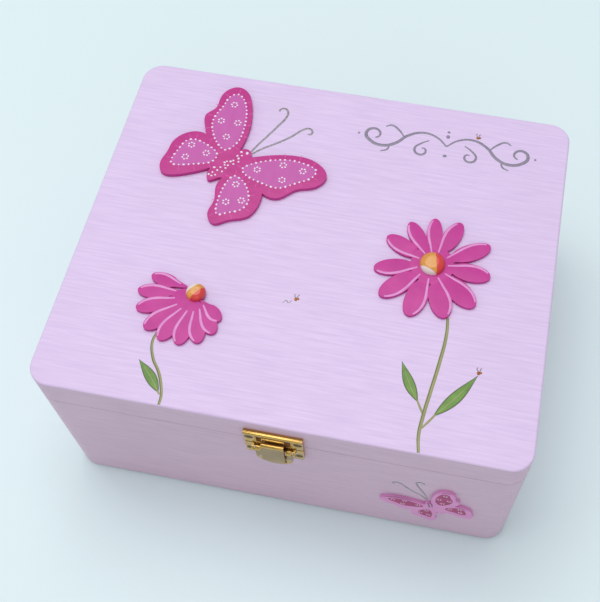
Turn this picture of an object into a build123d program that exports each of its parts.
"""Ballerina jewellery box: a painted wooden case with a hinged lid, a toggle catch and a
clockwork music movement that turns a small dancer on a spring.

Millimetres.  The box stands on Z = 0, X runs along its length, +Y points to the hinges.
Wooden boards first, then the relief work, the hinges, the catch, the movement, the dancer.
"""
import os
from math import atan2, cos, degrees, hypot, pi, radians, sin, sqrt, tan

from build123d import *

os.makedirs("parts", exist_ok=True)

# ---- box ---------------------------------------------------------------------------
LENGTH = 210.0          # X, outside
WIDTH = 175.0           # Y, outside
HEIGHT = 98.0           # floor to the flat of the lid
CORNER_R = 9.5          # upright corners
WALL = 9.0              # board thickness
SEAM_Z = 81.0           # top of the case boards
SEAM_GAP = 0.3          # daylight under the lid
LID_BOARD = 5.0         # thickness of the lid's top board
FELT = 1.0
BASE_BOARD = 4.0
LINING = 1.5
EASE = 1.0              # softened edge around the lid top

IN_X = LENGTH / 2 - WALL
IN_Y = WIDTH / 2 - WALL
LINED_X = IN_X - LINING
LINED_Y = IN_Y - LINING
FLOOR_Z = FELT + BASE_BOARD + LINING
FRONT = WIDTH / 2       # distance of the front and back faces from the middle
RAIL_Z = SEAM_Z + SEAM_GAP
LID_IN_Z = HEIGHT - LID_BOARD

# ---- interior ----------------------------------------------------------------------
STAGE_FRONT_Y = 27.0
STAGE_SIDE_X = 8.0
BOARD = 2.0             # thin inner boards
DECK_Z = 38.0           # underside of the stage deck
DIVIDER_Z = 45.0
ROLL_R = 4.0
ROLL_COUNT = 6

# ---- hinges ------------------------------------------------------------------------
HINGE_X = 60.0
HINGE_AXIS_Y = FRONT + 2.3
HINGE_AXIS_Z = SEAM_Z + 0.15
KNUCKLE_R = 2.0
KNUCKLE = 8.0
HINGE_PIN_R = 0.9
LEAF = 1.0
LEAF_W = 3 * KNUCKLE
SCREW_R = 0.9
SCREW_HEAD_R = 1.8

# ---- catch -------------------------------------------------------------------------
CATCH_W = 25.0
PLATE = 1.8             # keeper and base stampings, standing off the wood
LEVER_AXIS = (-FRONT - 2.6, 78.9)        # Y, Z of the cross pin
HOOK_AXIS = (-FRONT - 2.7, 70.0)         # Y, Z of the hook's own pin
LEVER_W = 15.6
HOOK_W = 9.6

# ---- relief on the lid -------------------------------------------------------------
WING_T = 2.0
PETAL_T = 1.6
DAISY = (51.5, -1.5)
CONE = (-48.5, -38.0)
CONE_BEAD = (-46.0, -35.0)

# ---- movement ----------------------------------------------------------------------
AXIS_Z = 23.0           # every horizontal arbor runs at this height
BED_Z = FLOOR_Z
BED_T = 2.0
BED_TOP = BED_Z + BED_T
BARREL_X = -70.0
CYL_Y = 53.0
PINION_R = 3.25
CROWN_R = 13.0          # pitch radius of the barrel crown, four times the pinion
GEAR_R = 9.0            # pitch radius of the cylinder gear and of the dancer's crown
GEAR_X = (-34.2, -32.2)
GOV_Y = CYL_Y + GEAR_R + 2.25 + 0.2
FAN_X, FAN_Y = -28.1, GOV_Y + 7.75
DANCER_X = GEAR_X[1] - 1.0 - GEAR_R
DANCER_Y = CYL_Y
ARBOR_R = 1.6
SPINDLE_R = 1.5
KEY_AXIS_OUT = 95.0
WIRE_X, WIRE_Y = -21.0, 72.5

SIDES = {
    "front": ((-1, -1), (1, -1)),
    "back": ((1, 1), (-1, 1)),
    "left": ((-1, 1), (-1, -1)),
    "right": ((1, -1), (1, 1)),
}


def mitred(side):
    """Corner points of one mitred board, outer edge first, seen from above."""
    (ax, ay), (bx, by) = SIDES[side]
    outer = [(ax * LENGTH / 2, ay * WIDTH / 2), (bx * LENGTH / 2, by * WIDTH / 2)]
    inner = [(bx * IN_X, by * IN_Y), (ax * IN_X, ay * IN_Y)]
    return outer + inner


def toothed(teeth, root_r, tip_r, width, phase=0.0):
    """Add a toothed disc to the sketch in progress."""
    Circle(root_r)
    foot = root_r * 0.9
    with PolarLocations(0, teeth, start_angle=phase):
        Polygon(
            (foot, -width / 2),
            (tip_r, -width * 0.36),
            (tip_r, width * 0.36),
            (foot, width / 2),
            align=None,
        )


def front_plane(proud=0.0):
    """Plane on the front face, looking outwards; X right, local Y up."""
    return Plane.XZ.offset(FRONT + proud)


def back_plane(proud=0.0):
    """Plane behind the box; extruding goes towards the front."""
    return Plane.XZ.offset(-(FRONT + proud))


def save(part, name):
    """Label a finished part and write it out."""
    part.part.label = name
    export_step(part.part, f"parts/{name}.step")


# ---- case boards -------------------------------------------------------------------
HINGE_SCREWS = [(s * HINGE_X + d, 73.0) for s in (-1, 1) for d in (-8.0, 8.0)]
LID_SCREWS = [(s * HINGE_X + d, 88.6) for s in (-1, 1) for d in (-8.0, 8.0)]
BASE_SCREWS = [(-10.3, 74.4), (10.3, 74.4)]
KEEPER_SCREWS = [(-10.3, 86.6), (10.3, 86.6)]

with BuildPart() as front_wall:
    with BuildSketch(Plane.XY.offset(FELT)):
        RectangleRounded(LENGTH, WIDTH, CORNER_R)
        Polygon(*mitred("front"), align=None, mode=Mode.INTERSECT)
    extrude(amount=SEAM_Z - FELT)
    with BuildSketch(front_plane()):
        with Locations(*BASE_SCREWS):
            Circle(SCREW_R)
    extrude(amount=-6.0, mode=Mode.SUBTRACT)

with BuildPart() as back_wall:
    with BuildSketch(Plane.XY.offset(FELT)):
        RectangleRounded(LENGTH, WIDTH, CORNER_R)
        Polygon(*mitred("back"), align=None, mode=Mode.INTERSECT)
    extrude(amount=SEAM_Z - FELT)
    with BuildSketch(back_plane()):
        with Locations(*HINGE_SCREWS):
            Circle(SCREW_R)
    extrude(amount=6.0, mode=Mode.SUBTRACT)
    with BuildSketch(back_plane()):
        with Locations((BARREL_X, AXIS_Z)):
            Circle(ARBOR_R + 0.6)
    extrude(amount=WALL, mode=Mode.SUBTRACT)

with BuildPart() as left_wall:
    with BuildSketch(Plane.XY.offset(FELT)):
        RectangleRounded(LENGTH, WIDTH, CORNER_R)
        Polygon(*mitred("left"), align=None, mode=Mode.INTERSECT)
    extrude(amount=SEAM_Z - FELT)

with BuildPart() as right_wall:
    with BuildSketch(Plane.XY.offset(FELT)):
        RectangleRounded(LENGTH, WIDTH, CORNER_R)
        Polygon(*mitred("right"), align=None, mode=Mode.INTERSECT)
    extrude(amount=SEAM_Z - FELT)

with BuildPart() as base_panel:
    with BuildSketch(Plane.XY.offset(FELT)):
        Rectangle(2 * IN_X, 2 * IN_Y)
    extrude(amount=BASE_BOARD)

with BuildPart() as base_felt:
    with BuildSketch():
        RectangleRounded(LENGTH - 5.0, WIDTH - 5.0, CORNER_R - 2.5)
    extrude(amount=FELT)

with BuildPart() as floor_lining:
    with BuildSketch(Plane.XY.offset(FELT + BASE_BOARD)):
        Rectangle(2 * LINED_X, 2 * LINED_Y)
    extrude(amount=LINING)

with BuildPart() as wall_linings:
    with BuildSketch(Plane.XY.offset(FELT + BASE_BOARD)):
        Rectangle(2 * IN_X, 2 * IN_Y)
        Rectangle(2 * LINED_X, 2 * LINED_Y, mode=Mode.SUBTRACT)
    extrude(amount=SEAM_Z - 4.0 - FELT - BASE_BOARD)
    with BuildSketch(Plane.XZ.offset(-IN_Y)):
        with Locations((BARREL_X, AXIS_Z)):
            Circle(ARBOR_R + 0.6)
    extrude(amount=LINING, mode=Mode.SUBTRACT)

# ---- interior fittings -------------------------------------------------------------
with BuildPart() as stage_deck:
    with BuildSketch(Plane.XY.offset(DECK_Z)):
        with Locations((-LINED_X, STAGE_FRONT_Y)):
            Rectangle(
                LINED_X + STAGE_SIDE_X + BOARD,
                LINED_Y - STAGE_FRONT_Y,
                align=(Align.MIN, Align.MIN),
            )
        with Locations((DANCER_X, DANCER_Y)):
            Circle(SPINDLE_R + 0.5, mode=Mode.SUBTRACT)
        with Locations((WIRE_X, WIRE_Y)):
            Circle(1.2, mode=Mode.SUBTRACT)
    extrude(amount=BOARD)

with BuildPart() as stage_front:
    with BuildSketch(Plane.XY.offset(FLOOR_Z)):
        with Locations((-LINED_X, STAGE_FRONT_Y)):
            Rectangle(LINED_X + STAGE_SIDE_X + BOARD, BOARD, align=(Align.MIN, Align.MIN))
    extrude(amount=DECK_Z - FLOOR_Z)

with BuildPart() as stage_side:
    with BuildSketch(Plane.XY.offset(FLOOR_Z)):
        with Locations((STAGE_SIDE_X, STAGE_FRONT_Y + BOARD)):
            Rectangle(BOARD, LINED_Y - STAGE_FRONT_Y - BOARD, align=(Align.MIN, Align.MIN))
    extrude(amount=DECK_Z - FLOOR_Z)

with BuildPart() as divider_long:
    with BuildSketch(Plane.XY.offset(FLOOR_Z)):
        with Locations((STAGE_SIDE_X + BOARD, STAGE_FRONT_Y)):
            Rectangle(LINED_X - STAGE_SIDE_X - BOARD, BOARD, align=(Align.MIN, Align.MIN))
    extrude(amount=DECK_Z - FLOOR_Z)

with BuildPart() as divider_cross:
    with BuildSketch(Plane.XY.offset(FLOOR_Z)):
        with Locations((STAGE_SIDE_X, -LINED_Y)):
            Rectangle(BOARD, LINED_Y + STAGE_FRONT_Y, align=(Align.MIN, Align.MIN))
    extrude(amount=DECK_Z - FLOOR_Z)

ROLL_PITCH = (LINED_Y - STAGE_FRONT_Y - BOARD) / ROLL_COUNT
with BuildPart() as ring_rolls:
    with BuildSketch(Plane.YZ.offset(STAGE_SIDE_X + BOARD)):
        with Locations((STAGE_FRONT_Y + BOARD, FLOOR_Z)):
            Rectangle(ROLL_COUNT * ROLL_PITCH, ROLL_R, align=(Align.MIN, Align.MIN))
        with Locations(
            *[
                (STAGE_FRONT_Y + BOARD + (i + 0.5) * ROLL_PITCH, FLOOR_Z + ROLL_R)
                for i in range(ROLL_COUNT)
            ]
        ):
            Circle(ROLL_PITCH / 2 - 0.02)
    extrude(amount=LINED_X - STAGE_SIDE_X - BOARD)

# ---- lid boards --------------------------------------------------------------------
with BuildPart() as lid_top:
    with BuildSketch(Plane.XY.offset(LID_IN_Z)):
        RectangleRounded(LENGTH, WIDTH, CORNER_R)
    extrude(amount=LID_BOARD)
    fillet(lid_top.faces().sort_by(Axis.Z)[-1].edges(), EASE)

with BuildPart() as lid_front_rail:
    with BuildSketch(Plane.XY.offset(RAIL_Z)):
        RectangleRounded(LENGTH, WIDTH, CORNER_R)
        Polygon(*mitred("front"), align=None, mode=Mode.INTERSECT)
    extrude(amount=LID_IN_Z - RAIL_Z)
    with BuildSketch(front_plane()):
        with Locations(*KEEPER_SCREWS):
            Circle(SCREW_R)
    extrude(amount=-6.0, mode=Mode.SUBTRACT)

with BuildPart() as lid_back_rail:
    with BuildSketch(Plane.XY.offset(RAIL_Z)):
        RectangleRounded(LENGTH, WIDTH, CORNER_R)
        Polygon(*mitred("back"), align=None, mode=Mode.INTERSECT)
    extrude(amount=LID_IN_Z - RAIL_Z)
    with BuildSketch(back_plane()):
        with Locations(*LID_SCREWS):
            Circle(SCREW_R)
    extrude(amount=6.0, mode=Mode.SUBTRACT)

with BuildPart() as lid_left_rail:
    with BuildSketch(Plane.XY.offset(RAIL_Z)):
        RectangleRounded(LENGTH, WIDTH, CORNER_R)
        Polygon(*mitred("left"), align=None, mode=Mode.INTERSECT)
    extrude(amount=LID_IN_Z - RAIL_Z)

with BuildPart() as lid_right_rail:
    with BuildSketch(Plane.XY.offset(RAIL_Z)):
        RectangleRounded(LENGTH, WIDTH, CORNER_R)
        Polygon(*mitred("right"), align=None, mode=Mode.INTERSECT)
    extrude(amount=LID_IN_Z - RAIL_Z)

MIRROR = (124.0, 92.0)
FRAME_W = 4.0
with BuildPart() as lid_lining:
    with BuildSketch(Plane.XY.offset(LID_IN_Z)):
        Rectangle(2 * IN_X, 2 * IN_Y)
    extrude(amount=-LINING)

with BuildPart() as mirror:
    with BuildSketch(Plane.XY.offset(LID_IN_Z - LINING)):
        Rectangle(*MIRROR)
    extrude(amount=-2.0)

with BuildPart() as mirror_frame:
    with BuildSketch(Plane.XY.offset(LID_IN_Z - LINING)):
        RectangleRounded(MIRROR[0] + 2 * FRAME_W, MIRROR[1] + 2 * FRAME_W, 3.0)
        Rectangle(*MIRROR, mode=Mode.SUBTRACT)
    extrude(amount=-2.6)

# ---- butterfly reliefs -------------------------------------------------------------
# Wing edges as flowing curves that meet in sharp notches, in lid coordinates.
UPPER_WING = [
    (-46.5, 42), (-45, 56.5), (-47, 68.5), (-52, 77.5), (-56, 79), (-60.5, 77),
    (-63.5, 70), (-64, 64.5), (-67.5, 60), (-66.5, 53.5), (-64.5, 48.5),
]
LEFT_WING = [
    (-64.5, 48.5), (-73.5, 47.5), (-79, 40), (-79.5, 35.5), (-81, 29), (-79, 23.5),
    (-71, 23.5), (-57, 30),
]
TAIL = [(-57, 30), (-58, 26.5), (-56.5, 23), (-53.5, 24.5), (-50.5, 25.5)]
LOWER_WING = [
    (-50.5, 25.5), (-52, 18.5), (-51, 12.5), (-52, 5), (-48, 0.5), (-43, 3),
    (-34, 7), (-30.5, 14.5), (-30.5, 20.5),
]
RIGHT_WING = [
    (-30.5, 20.5), (-21, 20.5), (-15.5, 25.5), (-8.5, 28), (-3.5, 35), (-9.5, 42),
    (-19.5, 44), (-33.5, 41.5), (-40.5, 39),
]
HEAD = [(-40.5, 39), (-41, 42), (-42.5, 43.2), (-44.8, 43.2), (-46.5, 42)]

with BuildPart() as butterfly_applique:
    with BuildSketch(Plane.XY.offset(HEIGHT)):
        with BuildLine():
            Spline(*UPPER_WING)
            Spline(*LEFT_WING)
            Spline(*TAIL)
            Spline(*LOWER_WING)
            Spline(*RIGHT_WING)
            Spline(*HEAD)
        make_face()
    extrude(amount=WING_T)

SMALL = 0.545           # size of the front butterfly against the one on the lid
SMALL_AT = (66.5, 39.6)  # middle of the small butterfly on the front face
BIG_MID = (-42.2, 39.8)


def small(points):
    """The lid butterfly, mirrored and shrunk onto the front face."""
    return [
        (SMALL_AT[0] - SMALL * (x - BIG_MID[0]), SMALL_AT[1] + SMALL * (y - BIG_MID[1]))
        for x, y in points
    ]


with BuildPart() as front_butterfly:
    with BuildSketch(front_plane()):
        with BuildLine():
            Spline(*small(UPPER_WING))
            Spline(*small(LEFT_WING))
            Spline(*small(TAIL))
            Spline(*small(LOWER_WING))
            Spline(*small(RIGHT_WING))
            Spline(*small(HEAD))
        make_face()
    extrude(amount=1.5)

# ---- flower reliefs ----------------------------------------------------------------
PETAL_WIDEST = 0.66  # share of a petal's length, from its base
DAISY_PETALS = [  # tip x, tip y, width
    (38.4, 18.4, 7.2), (49.3, 22.4, 7.0), (61.0, 22.2, 8.0), (75.4, 12.6, 8.2),
    (77.2, -3.0, 8.8), (72.2, -18.8, 9.8), (60.5, -26.4, 9.8), (45.0, -28.2, 9.6),
    (31.4, -20.8, 9.0), (26.6, -8.0, 8.0), (29.6, 9.2, 8.0),
]
CONE_HUB = (-49.6, -40.0)
CONE_PETALS = [  # tip x, tip y, width, base x, base y
    (-67.2, -30.0, 6.2, -48.8, -33.2), (-71.0, -38.2, 7.0, -48.6, -35.6),
    (-69.2, -46.8, 7.4, -48.4, -37.2), (-63.0, -55.4, 8.0, -47.8, -37.8),
    (-55.4, -59.4, 8.0, -47.2, -38.2), (-47.0, -60.0, 7.8, -46.4, -38.4),
    (-39.0, -57.8, 7.6, -45.6, -38.4), (-33.6, -52.4, 7.2, -44.8, -38.0),
    (-32.6, -46.0, 6.4, -44.0, -37.4),
]


def petal(base, tip, width):
    """Add one petal that widens straight from its base to a blunt oval end."""
    bx, by = base
    dx, dy = tip[0] - bx, tip[1] - by
    reach = hypot(dx, dy)
    mx, my = bx + dx * PETAL_WIDEST, by + dy * PETAL_WIDEST
    hx, hy = -dy / reach * width / 2, dx / reach * width / 2
    Polygon((bx, by), (mx - hx, my - hy), (mx + hx, my + hy), align=None)
    with Locations(Location((mx, my, 0), degrees(atan2(dy, dx)))):
        Ellipse(reach * (1 - PETAL_WIDEST), width / 2)


with BuildPart() as daisy_petals:
    with BuildSketch(Plane.XY.offset(HEIGHT)):
        for x, y, width in DAISY_PETALS:
            petal(DAISY, (x, y), width)
        with Locations(DAISY):
            Circle(9.6)
    extrude(amount=PETAL_T)

with BuildPart() as coneflower_petals:
    with BuildSketch(Plane.XY.offset(HEIGHT)):
        for x, y, width, bx, by in CONE_PETALS:
            petal((bx, by), (x, y), width)
        with Locations(CONE_BEAD):
            Circle(4.0)
        with Locations(CONE_HUB):
            Circle(6.4)
    extrude(amount=PETAL_T)

BEAD_Z = HEIGHT + PETAL_T
with BuildPart() as daisy_centre:
    with BuildSketch(Plane.XY.offset(BEAD_Z)):
        with Locations(DAISY):
            Circle(5.6)
    extrude(amount=3.4)
    fillet(daisy_centre.edges().sort_by(Axis.Z)[-1], 3.2)

with BuildPart() as coneflower_centre:
    with BuildSketch(Plane.XY.offset(BEAD_Z)):
        with Locations(CONE_BEAD):
            Circle(4.3)
    extrude(amount=2.9)
    fillet(coneflower_centre.edges().sort_by(Axis.Z)[-1], 2.7)

# ---- hinges ------------------------------------------------------------------------
KNUCKLE_GAP = 0.3
OUTER_KNUCKLES = [s * HINGE_X + d for s in (-1, 1) for d in (-KNUCKLE, KNUCKLE)]

with BuildPart() as hinge_case_leaves:
    with BuildSketch(back_plane()):
        with Locations((-HINGE_X, 69.0), (HINGE_X, 69.0)):
            Rectangle(LEAF_W, HINGE_AXIS_Z - 0.25 - 69.0, align=(Align.CENTER, Align.MIN))
        with Locations((-HINGE_X, HINGE_AXIS_Z), (HINGE_X, HINGE_AXIS_Z)):
            Rectangle(
                KNUCKLE + KNUCKLE_GAP,
                2 * (KNUCKLE_R + 0.4),
                mode=Mode.SUBTRACT,
            )
        with Locations(*HINGE_SCREWS):
            Circle(SCREW_HEAD_R, mode=Mode.SUBTRACT)
    extrude(amount=-LEAF)
    for x in OUTER_KNUCKLES:
        with BuildSketch(Plane.YZ.offset(x - KNUCKLE / 2)):
            with Locations((HINGE_AXIS_Y, HINGE_AXIS_Z)):
                Circle(KNUCKLE_R)
                Circle(HINGE_PIN_R, mode=Mode.SUBTRACT)
        extrude(amount=KNUCKLE)
    for x in (-HINGE_X, HINGE_X):
        with BuildSketch(Plane.YZ.offset(x - KNUCKLE / 2 - KNUCKLE_GAP / 2)):
            with Locations((HINGE_AXIS_Y, HINGE_AXIS_Z)):
                Circle(KNUCKLE_R + 0.4)
        extrude(amount=KNUCKLE + KNUCKLE_GAP, mode=Mode.SUBTRACT)

with BuildPart() as hinge_lid_leaves:
    with BuildSketch(back_plane()):
        with Locations((-HINGE_X, HINGE_AXIS_Z + 0.35), (HINGE_X, HINGE_AXIS_Z + 0.35)):
            Rectangle(LEAF_W, 11.0, align=(Align.CENTER, Align.MIN))
        with Locations(*[(x, HINGE_AXIS_Z) for x in OUTER_KNUCKLES]):
            Rectangle(
                KNUCKLE + KNUCKLE_GAP,
                2 * (KNUCKLE_R + 0.4),
                mode=Mode.SUBTRACT,
            )
        with Locations(*LID_SCREWS):
            Circle(SCREW_HEAD_R, mode=Mode.SUBTRACT)
    extrude(amount=-LEAF)
    for x in (-HINGE_X, HINGE_X):
        with BuildSketch(Plane.YZ.offset(x - KNUCKLE / 2 + KNUCKLE_GAP)):
            with Locations((HINGE_AXIS_Y, HINGE_AXIS_Z)):
                Circle(KNUCKLE_R)
                Circle(HINGE_PIN_R + 0.08, mode=Mode.SUBTRACT)
        extrude(amount=KNUCKLE - 2 * KNUCKLE_GAP)

with BuildPart() as hinge_pins:
    for x in (-HINGE_X, HINGE_X):
        with BuildSketch(Plane.YZ.offset(x - LEAF_W / 2 - 0.5)):
            with Locations((HINGE_AXIS_Y, HINGE_AXIS_Z)):
                Circle(HINGE_PIN_R)
        extrude(amount=LEAF_W + 1.0)


def screws(points, face_y, out, head_t):
    """Add slotted screws: the head fills a plate's countersink, the shank is in the wood."""
    for x, z in points:
        with Locations((x, face_y + out * head_t / 2, z)):
            Cylinder(SCREW_HEAD_R, head_t, rotation=(90, 0, 0))
        with Locations((x, face_y - out * 3.0, z)):
            Cylinder(SCREW_R, 6.0, rotation=(90, 0, 0))
        with Locations((x, face_y + out * head_t, z)):
            Box(2 * SCREW_HEAD_R + 0.2, 0.8, 0.5, mode=Mode.SUBTRACT)


with BuildPart() as hinge_case_screws:
    screws(HINGE_SCREWS, FRONT, 1, LEAF)

with BuildPart() as hinge_lid_screws:
    screws(LID_SCREWS, FRONT, 1, LEAF)

# ---- catch: base and keeper --------------------------------------------------------
BASE_BOTTOM = 70.4
BASE_TOP = 80.6
KEEPER_BOTTOM = 81.5
KEEPER_TOP = 91.0
LUG_R = 1.5

with BuildPart() as catch_base:
    with BuildSketch(front_plane()):
        with Locations((0, BASE_BOTTOM)):
            Rectangle(CATCH_W, BASE_TOP - BASE_BOTTOM, align=(Align.CENTER, Align.MIN))
        with Locations(*BASE_SCREWS):
            Circle(SCREW_HEAD_R, mode=Mode.SUBTRACT)
    extrude(amount=PLATE)
    fillet(catch_base.edges().filter_by(Axis.Y).sort_by(Axis.Z)[:2], 1.5)
    with BuildSketch(front_plane(0.6)):
        with Locations((0, BASE_BOTTOM - 1)):
            Rectangle(LEVER_W + 1.0, BASE_TOP - BASE_BOTTOM + 2, align=(Align.CENTER, Align.MIN))
    extrude(amount=PLATE, mode=Mode.SUBTRACT)
    for x in (-9.4, 8.3):
        with BuildSketch(Plane.YZ.offset(x)):
            with Locations(LEVER_AXIS):
                Circle(LUG_R)
            with Locations((-FRONT, LEVER_AXIS[1])):
                Rectangle(2.6, 2 * LUG_R, align=(Align.MAX, Align.CENTER))
            with Locations(LEVER_AXIS):
                Circle(0.7, mode=Mode.SUBTRACT)
        extrude(amount=1.1)

with BuildPart() as catch_base_screws:
    screws(BASE_SCREWS, -FRONT, -1, PLATE)

with BuildPart() as catch_pin:
    with BuildSketch(Plane.YZ.offset(-9.6)):
        with Locations(LEVER_AXIS):
            Circle(0.7)
    extrude(amount=19.2)

with BuildPart() as catch_keeper:
    with BuildSketch(front_plane()):
        with Locations((0, KEEPER_BOTTOM)):
            Rectangle(CATCH_W, KEEPER_TOP - KEEPER_BOTTOM, align=(Align.CENTER, Align.MIN))
        with Locations(*KEEPER_SCREWS):
            Circle(SCREW_HEAD_R, mode=Mode.SUBTRACT)
        with Locations((0, KEEPER_BOTTOM + 0.9)):
            Rectangle(14.4, 5.9, align=(Align.CENTER, Align.MIN), mode=Mode.SUBTRACT)
    extrude(amount=PLATE)
    with BuildSketch(Plane.YZ.offset(-CATCH_W / 2)):
        with Locations((-FRONT - 1.1, KEEPER_TOP - 1.0)):
            Circle(1.1)
    extrude(amount=CATCH_W)
    with BuildSketch(Plane.YZ.offset(-HOOK_W / 2)):
        with Locations((-FRONT, 87.0)):
            Rectangle(2.5, 1.3, align=(Align.MAX, Align.MIN))
        with Locations((-FRONT - 1.8, 86.2)):
            Rectangle(0.7, 1.2, align=(Align.MAX, Align.MIN))
    extrude(amount=HOOK_W)

with BuildPart() as keeper_screws:
    screws(KEEPER_SCREWS, -FRONT, -1, PLATE)

# ---- catch: lever and hook ---------------------------------------------------------
LEVER_BACK = 1.3        # stand-off of the lever's back face from the wood
LEVER_T = 2.3
WINDOW_W = HOOK_W + 0.8
LEVER_FOOT = 64.8
with BuildPart() as catch_lever:
    with BuildSketch(front_plane(LEVER_BACK)):
        with BuildLine():
            right = Line((LEVER_W / 2, LEVER_AXIS[1]), (LEVER_W / 2, 70.0))
            foot = ThreePointArc(right @ 1, (0, LEVER_FOOT), (-LEVER_W / 2, 70.0))
            left = Line(foot @ 1, (-LEVER_W / 2, LEVER_AXIS[1]))
            Line(left @ 1, right @ 0)
        make_face()
        with Locations((0, 67.6)):
            Rectangle(WINDOW_W, 14.0, align=(Align.CENTER, Align.MIN), mode=Mode.SUBTRACT)
    extrude(amount=LEVER_T)
    for x in (-LEVER_W / 2, WINDOW_W / 2):
        with BuildSketch(Plane.YZ.offset(x)):
            with Locations(LEVER_AXIS):
                Circle(1.5)
        extrude(amount=(LEVER_W - WINDOW_W) / 2)
    with BuildSketch(Plane.YZ.offset(-LEVER_W / 2 - 1)):
        with Locations(LEVER_AXIS):
            Circle(0.76)
    extrude(amount=LEVER_W + 2, mode=Mode.SUBTRACT)
    with BuildSketch(Plane.YZ.offset(-LEVER_W / 2 - 1)):
        with Locations(HOOK_AXIS):
            Circle(0.6)
    extrude(amount=LEVER_W + 2, mode=Mode.SUBTRACT)

with BuildPart() as catch_hook_pin:
    with BuildSketch(Plane.YZ.offset(-LEVER_W / 2)):
        with Locations(HOOK_AXIS):
            Circle(0.6)
    extrude(amount=LEVER_W)

HOOK_BACK = FRONT + 3.75
with BuildPart() as catch_hook:
    with BuildSketch(Plane.YZ.offset(-HOOK_W / 2)):
        with Locations(HOOK_AXIS):
            Circle(1.35)
        with Locations((-HOOK_BACK, HOOK_AXIS[1])):
            Rectangle(0.9, 15.4, align=(Align.MAX, Align.MIN))
        with Locations((-HOOK_BACK, 85.1)):
            Circle(1.1)
        with Locations(HOOK_AXIS):
            Circle(0.66, mode=Mode.SUBTRACT)
    extrude(amount=HOOK_W)

# ---- winding key -------------------------------------------------------------------
with BuildPart() as key_escutcheon:
    with BuildSketch(back_plane()):
        with Locations((BARREL_X, AXIS_Z)):
            Circle(7.0)
            Circle(ARBOR_R + 0.08, mode=Mode.SUBTRACT)
    extrude(amount=-1.0)

with BuildPart() as winding_arbor:
    with BuildSketch(Plane.XZ.offset(-52.8)):
        with Locations((BARREL_X, AXIS_Z)):
            Circle(ARBOR_R)
    extrude(amount=-(KEY_AXIS_OUT - 52.8))

with BuildPart() as winding_key:
    with BuildSketch(Plane.XZ.offset(-(FRONT + 2.5))):
        with Locations((BARREL_X, AXIS_Z)):
            Circle(3.0)
    extrude(amount=-7.5)
    with BuildSketch(Plane.XZ.offset(-(FRONT + 2.5))):
        with Locations((BARREL_X, AXIS_Z)):
            Circle(ARBOR_R)
    extrude(amount=-(KEY_AXIS_OUT - FRONT - 2.5), mode=Mode.SUBTRACT)
    with BuildSketch(Plane.XY.offset(AXIS_Z - 1.0)):
        for s in (-1, 1):
            with Locations((BARREL_X + s * 6.2, FRONT + 14.0)):
                Ellipse(6.4, 5.0)
        with Locations((BARREL_X, FRONT + 11.5)):
            Rectangle(5.0, 8.0)
        for s in (-1, 1):
            with Locations((BARREL_X + s * 6.4, FRONT + 14.0)):
                Circle(2.2, mode=Mode.SUBTRACT)
    extrude(amount=2.0)

# ---- movement: frame ---------------------------------------------------------------
with BuildPart() as bedplate:
    with BuildSketch(Plane.XY.offset(BED_Z)):
        with Locations((-86.0, 31.0)):
            RectangleRounded(70.0, 44.5, 3.0, align=(Align.MIN, Align.MIN))
        with Locations((-82.0, 35.0), (-20.0, 35.0)):
            Circle(1.2, mode=Mode.SUBTRACT)
        with Locations((FAN_X, FAN_Y)):
            Circle(0.65, mode=Mode.SUBTRACT)
    extrude(amount=BED_T)

with BuildPart() as movement_screws:
    for x in (-82.0, -20.0):
        with BuildSketch(Plane.XY.offset(BED_Z)):
            with Locations((x, 35.0)):
                Circle(1.2)
        extrude(amount=BED_T)
        with BuildSketch(Plane.XY.offset(BED_TOP)):
            with Locations((x, 35.0)):
                Circle(2.4)
        extrude(amount=1.4)
        with BuildSketch(Plane.XY.offset(BED_TOP + 1.4)):
            with Locations((x, 35.0)):
                Rectangle(5.2, 0.6)
        extrude(amount=-0.6, mode=Mode.SUBTRACT)

BRACKET = 1.6
with BuildPart() as movement_brackets:
    for y, bore in ((53.4, 0.08), (70.6, 0.08)):
        with BuildSketch(Plane.XZ.offset(-y)):
            with Locations((BARREL_X, BED_TOP)):
                Rectangle(10.0, AXIS_Z - BED_TOP, align=(Align.CENTER, Align.MIN))
            with Locations((BARREL_X, AXIS_Z)):
                Circle(5.0)
                Circle(ARBOR_R + bore, mode=Mode.SUBTRACT)
        extrude(amount=-BRACKET)
    with BuildSketch(Plane.YZ.offset(-62.0)):
        with Locations((CYL_Y, BED_TOP)):
            Rectangle(5.0, AXIS_Z - BED_TOP + 2.5, align=(Align.CENTER, Align.MIN))
        with Locations((CYL_Y, AXIS_Z)):
            Circle(0.98, mode=Mode.SUBTRACT)
    extrude(amount=BRACKET)
    with BuildSketch(Plane.YZ.offset(-31.4)):
        with Locations((50.5, BED_TOP)):
            Rectangle(17.0, AXIS_Z - BED_TOP + 2.5, align=(Align.MIN, Align.MIN))
        with Locations((CYL_Y, AXIS_Z)):
            Circle(0.98, mode=Mode.SUBTRACT)
        with Locations((GOV_Y, AXIS_Z)):
            Circle(0.68, mode=Mode.SUBTRACT)
    extrude(amount=BRACKET)
    with BuildSketch(Plane.YZ.offset(-38.8)):
        with Locations((GOV_Y, BED_TOP)):
            Rectangle(4.5, AXIS_Z - BED_TOP + 2.5, align=(Align.CENTER, Align.MIN))
        with Locations((GOV_Y, AXIS_Z)):
            Circle(0.68, mode=Mode.SUBTRACT)
    extrude(amount=BRACKET)
    with BuildSketch(Plane.XZ.offset(-(FAN_Y - 2.2))):
        with Locations((FAN_X - 6.2, BED_TOP)):
            Rectangle(1.4, 36.3 - BED_TOP, align=(Align.MIN, Align.MIN))
        with Locations((FAN_X - 6.2, 35.0)):
            Rectangle(8.4, 1.3, align=(Align.MIN, Align.MIN))
    extrude(amount=-4.4)
    with BuildSketch(Plane.XY.offset(34.0)):
        with Locations((FAN_X, FAN_Y)):
            Circle(0.68)
    extrude(amount=4.0, mode=Mode.SUBTRACT)

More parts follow.
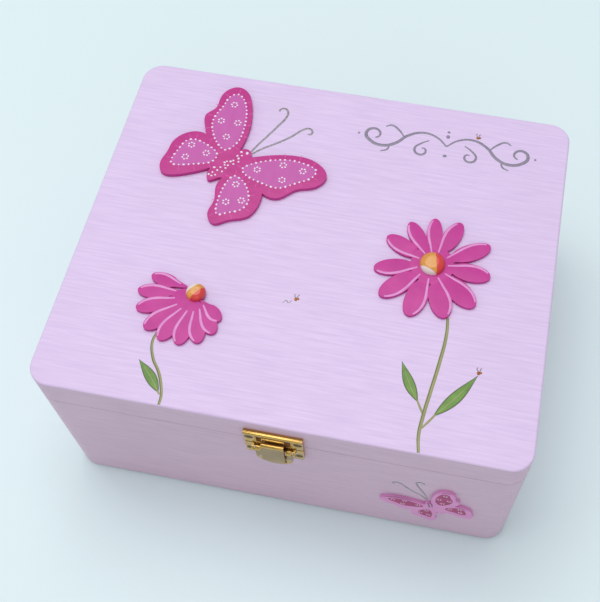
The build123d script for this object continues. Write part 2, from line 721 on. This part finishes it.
COMB_TEETH = 18
COMB_X = (-54.0, -36.0)
with BuildPart() as comb:
    with BuildSketch(Plane.XY.offset(AXIS_Z - 0.6)):
        with Locations((COMB_X[0], 33.0)):
            Rectangle(COMB_X[1] - COMB_X[0], 13.1, align=(Align.MIN, Align.MIN))
        with Locations(*[(COMB_X[0] + i, 37.0) for i in range(1, COMB_TEETH)]):
            Rectangle(0.3, 10.0, align=(Align.CENTER, Align.MIN), mode=Mode.SUBTRACT)
    extrude(amount=1.2)
    with BuildSketch(Plane.XY.offset(BED_TOP)):
        with Locations((COMB_X[0], 33.0)):
            Rectangle(COMB_X[1] - COMB_X[0], 3.6, align=(Align.MIN, Align.MIN))
    extrude(amount=AXIS_Z - 0.6 - BED_TOP)

# ---- movement: spring and wheels ---------------------------------------------------
CUP_R = 11.5
with BuildPart() as spring_barrel:
    with BuildSketch(Plane.XZ.offset(-57.3)):
        with Locations((BARREL_X, AXIS_Z)):
            Circle(CROWN_R + 1.0)
    extrude(amount=-1.9)
    with BuildSketch(Plane.XZ.offset(-57.3)):
        with Locations((BARREL_X, AXIS_Z)):
            with PolarLocations(CROWN_R - 0.1, 40, start_angle=4.5):
                Rectangle(2.2, 0.8)
    extrude(amount=1.3)
    with BuildSketch(Plane.XZ.offset(-59.2)):
        with Locations((BARREL_X, AXIS_Z)):
            Circle(CUP_R)
            Circle(CUP_R - 0.9, mode=Mode.SUBTRACT)
    extrude(amount=-10.3)
    with BuildSketch(Plane.XZ.offset(-55.0)):
        with Locations((BARREL_X, AXIS_Z)):
            Circle(ARBOR_R + 0.08)
    extrude(amount=-20.0, mode=Mode.SUBTRACT)

with BuildPart() as mainspring:
    with BuildSketch(Plane((BARREL_X, 60.0, AXIS_Z), x_dir=(1, 0, 0), z_dir=(0, -1, 0))):
        with BuildLine():
            radius = 2.1
            side = 1
            centre = 0.0
            for turn in range(14):
                CenterArc((centre, 0), radius, 0 if side > 0 else 180, 180)
                centre -= side * 0.55
                radius += 0.55
                side = -side
        trace(line_width=0.4)
    extrude(amount=-8.2)

with BuildPart() as music_cylinder:
    with BuildSketch(Plane.YZ.offset(-54.5)):
        with Locations((CYL_Y, AXIS_Z)):
            Circle(6.6)
            Circle(0.9, mode=Mode.SUBTRACT)
    extrude(amount=19.0)

with BuildPart() as cylinder_arbor:
    with BuildSketch(Plane.YZ.offset(-62.4)):
        with Locations((CYL_Y, AXIS_Z)):
            Circle(0.9)
    extrude(amount=33.0)
    with BuildSketch(Plane.YZ.offset(-58.3)):
        with Locations((CYL_Y, AXIS_Z)):
            toothed(10, 2.45, 3.7, 0.85)
    extrude(amount=2.6)

with BuildPart() as cylinder_gear:
    with BuildSketch(Plane.YZ.offset(GEAR_X[0])):
        with Locations((CYL_Y, AXIS_Z)):
            toothed(40, GEAR_R - 0.5, GEAR_R + 0.35, 0.6)
            Circle(0.9, mode=Mode.SUBTRACT)
    extrude(amount=GEAR_X[1] - GEAR_X[0])

with BuildPart() as governor_wheel:
    with BuildSketch(Plane.YZ.offset(-39.2)):
        with Locations((GOV_Y, AXIS_Z)):
            Circle(0.6)
    extrude(amount=13.0)
    with BuildSketch(Plane.YZ.offset(GEAR_X[0])):
        with Locations((GOV_Y, AXIS_Z)):
            toothed(10, 1.7, 2.6, 0.55, 18.0)
    extrude(amount=GEAR_X[1] - GEAR_X[0])
    with BuildSketch(Plane.YZ.offset(FAN_X - 0.7)):
        with Locations((GOV_Y, AXIS_Z)):
            toothed(30, 5.5, 6.1, 0.55)
    extrude(amount=1.4)

with BuildPart() as governor_fan:
    with BuildSketch(Plane.XY.offset(BED_TOP - 1.5)):
        with Locations((FAN_X, FAN_Y)):
            Circle(0.6)
    extrude(amount=36.0 - BED_TOP + 1.5)
    with BuildSketch(Plane.XY.offset(AXIS_Z - 4.0)):
        with Locations((FAN_X, FAN_Y)):
            Circle(1.1)
    extrude(amount=8.0)
    for i in range(6):
        with BuildSketch(Plane.XY.offset(AXIS_Z - 3.7 + i * 1.4)):
            with Locations((FAN_X, FAN_Y)):
                Circle(1.45)
        extrude(amount=0.5)
    with BuildSketch(Plane.XY.offset(28.8)):
        with Locations((FAN_X, FAN_Y)):
            Circle(1.2)
            Rectangle(8.4, 0.8)
    extrude(amount=5.4)

# ---- dancer ------------------------------------------------------------------------
TABLE_TOP = 42.0
SPRING_TOP = 48.0
CROWN_Z = AXIS_Z + GEAR_R + 0.8
with BuildPart() as ballerina_spindle:
    with BuildSketch(Plane.XY.offset(CROWN_Z)):
        with Locations((DANCER_X, DANCER_Y)):
            Circle(GEAR_R + 1.0)
    extrude(amount=1.5)
    with BuildSketch(Plane.XY.offset(CROWN_Z - 0.9)):
        with Locations((DANCER_X, DANCER_Y)):
            with PolarLocations(GEAR_R, 40, start_angle=4.5):
                Rectangle(1.8, 0.55)
    extrude(amount=0.9)
    with BuildSketch(Plane.XY.offset(CROWN_Z)):
        with Locations((DANCER_X, DANCER_Y)):
            Circle(SPINDLE_R)
    extrude(amount=TABLE_TOP - CROWN_Z)
    with BuildSketch(Plane.XY.offset(DECK_Z + BOARD + 0.4)):
        with Locations((DANCER_X, DANCER_Y)):
            Circle(8.0)
    extrude(amount=TABLE_TOP - DECK_Z - BOARD - 0.4)

with BuildPart() as ballerina_spring:
    with BuildLine(Plane((DANCER_X, DANCER_Y, TABLE_TOP + 0.35))):
        coil = Helix(1.35, SPRING_TOP - TABLE_TOP - 0.8, 2.2)
    with BuildSketch(Plane(origin=coil @ 0, z_dir=coil % 0)):
        Circle(0.35)
    sweep()
    with BuildSketch(Plane.XY.offset(TABLE_TOP)):
        with Locations((DANCER_X, DANCER_Y)):
            Circle(2.6)
    extrude(amount=0.4)

# The dancer in fifth position on one pointe, arms in a ring above the head.
SOLE_Z = SPRING_TOP + 0.3
WAIST_Z = 64.5
HEAD_Z = 77.2
with BuildPart() as ballerina_figure:
    with BuildSketch(Plane.XZ.offset(-DANCER_Y)):
        with BuildLine():
            foot = Line((DANCER_X, SOLE_Z), (DANCER_X + 2.2, SOLE_Z))
            rim = Line(foot @ 1, (DANCER_X + 2.2, SOLE_Z + 0.8))
            side = Spline(
                rim @ 1,
                (DANCER_X + 0.9, SOLE_Z + 2.0),
                (DANCER_X + 1.25, SOLE_Z + 7.0),
                (DANCER_X + 1.0, SOLE_Z + 9.5),
                (DANCER_X + 1.7, WAIST_Z - 3.0),
                (DANCER_X + 1.6, WAIST_Z + 0.5),
                (DANCER_X + 2.4, WAIST_Z + 5.5),
                (DANCER_X + 0.85, WAIST_Z + 8.2),
                (DANCER_X + 0.8, HEAD_Z - 1.8),
            )
            top = Line(side @ 1, (DANCER_X, HEAD_Z - 1.8))
            Line(top @ 1, foot @ 0)
        make_face()
    revolve(axis=Axis((DANCER_X, DANCER_Y, 0), (0, 0, 1)))
    with Locations((DANCER_X, DANCER_Y, HEAD_Z)):
        Sphere(2.3)
    with Locations((DANCER_X, DANCER_Y + 1.1, HEAD_Z + 2.1)):
        Sphere(1.2)
    for s in (-1, 1):
        with BuildLine(Plane.XZ.offset(-DANCER_Y)):
            arm = Spline(
                (DANCER_X + s * 1.0, WAIST_Z + 6.2),
                (DANCER_X + s * 4.6, WAIST_Z + 10.5),
                (DANCER_X + s * 5.2, HEAD_Z + 3.0),
                (DANCER_X + s * 3.4, HEAD_Z + 7.3),
                (DANCER_X + s * 0.7, HEAD_Z + 8.9),
            )
        with BuildSketch(Plane(origin=arm @ 0, z_dir=arm % 0)):
            Circle(0.7)
        sweep(path=arm)
    with BuildLine(Plane.XZ.offset(-DANCER_Y)):
        leg = Spline(
            (DANCER_X + 0.6, WAIST_Z - 3.0),
            (DANCER_X + 4.4, WAIST_Z - 4.6),
            (DANCER_X + 5.4, WAIST_Z - 6.0),
            (DANCER_X + 3.4, WAIST_Z - 8.4),
            (DANCER_X + 0.5, WAIST_Z - 9.6),
        )
    with BuildSketch(Plane(origin=leg @ 0, z_dir=leg % 0)):
        Circle(0.8)
    sweep(path=leg)

TUTU_R = 13.0
with BuildPart() as ballerina_tutu:
    with BuildSketch(Plane.XZ.offset(-DANCER_Y)):
        with BuildLine():
            under = Spline(
                (DANCER_X + 1.95, WAIST_Z - 1.2),
                (DANCER_X + 6.0, WAIST_Z - 1.6),
                (DANCER_X + TUTU_R, WAIST_Z - 3.0),
            )
            rim = Line(under @ 1, (DANCER_X + TUTU_R, WAIST_Z - 1.8))
            over = Spline(
                rim @ 1,
                (DANCER_X + 6.0, WAIST_Z + 0.2),
                (DANCER_X + 1.95, WAIST_Z + 0.8),
            )
            Line(over @ 1, under @ 0)
        make_face()
    revolve(axis=Axis((DANCER_X, DANCER_Y, 0), (0, 0, 1)))

# ---- stop wire ---------------------------------------------------------------------
with BuildPart() as stop_wire:
    with BuildSketch(Plane.XY.offset(20.0)):
        with Locations((WIRE_X, WIRE_Y)):
            Circle(0.7)
    extrude(amount=70.4)
    with BuildSketch(Plane.XY.offset(89.0)):
        with Locations((WIRE_X, WIRE_Y)):
            Circle(1.6)
    extrude(amount=2.0)

# ---- write every node --------------------------------------------------------------
NODES = {
    "front_wall": front_wall,
    "back_wall": back_wall,
    "left_wall": left_wall,
    "right_wall": right_wall,
    "base_panel": base_panel,
    "base_felt": base_felt,
    "floor_lining": floor_lining,
    "wall_linings": wall_linings,
    "stage_deck": stage_deck,
    "stage_front": stage_front,
    "stage_side": stage_side,
    "divider_long": divider_long,
    "divider_cross": divider_cross,
    "ring_rolls": ring_rolls,
    "lid_top": lid_top,
    "lid_front_rail": lid_front_rail,
    "lid_back_rail": lid_back_rail,
    "lid_left_rail": lid_left_rail,
    "lid_right_rail": lid_right_rail,
    "lid_lining": lid_lining,
    "mirror": mirror,
    "mirror_frame": mirror_frame,
    "butterfly_applique": butterfly_applique,
    "front_butterfly": front_butterfly,
    "daisy_petals": daisy_petals,
    "daisy_centre": daisy_centre,
    "coneflower_petals": coneflower_petals,
    "coneflower_centre": coneflower_centre,
    "hinge_case_leaves": hinge_case_leaves,
    "hinge_lid_leaves": hinge_lid_leaves,
    "hinge_pins": hinge_pins,
    "hinge_case_screws": hinge_case_screws,
    "hinge_lid_screws": hinge_lid_screws,
    "catch_base": catch_base,
    "catch_base_screws": catch_base_screws,
    "catch_pin": catch_pin,
    "catch_keeper": catch_keeper,
    "keeper_screws": keeper_screws,
    "catch_lever": catch_lever,
    "catch_hook_pin": catch_hook_pin,
    "catch_hook": catch_hook,
    "key_escutcheon": key_escutcheon,
    "winding_arbor": winding_arbor,
    "winding_key": winding_key,
    "bedplate": bedplate,
    "movement_screws": movement_screws,
    "movement_brackets": movement_brackets,
    "comb": comb,
    "spring_barrel": spring_barrel,
    "mainspring": mainspring,
    "music_cylinder": music_cylinder,
    "cylinder_arbor": cylinder_arbor,
    "cylinder_gear": cylinder_gear,
    "governor_wheel": governor_wheel,
    "governor_fan": governor_fan,
    "ballerina_spindle": ballerina_spindle,
    "ballerina_spring": ballerina_spring,
    "ballerina_figure": ballerina_figure,
    "ballerina_tutu": ballerina_tutu,
    "stop_wire": stop_wire,
}
for node_name, node in NODES.items():
    save(node, node_name)
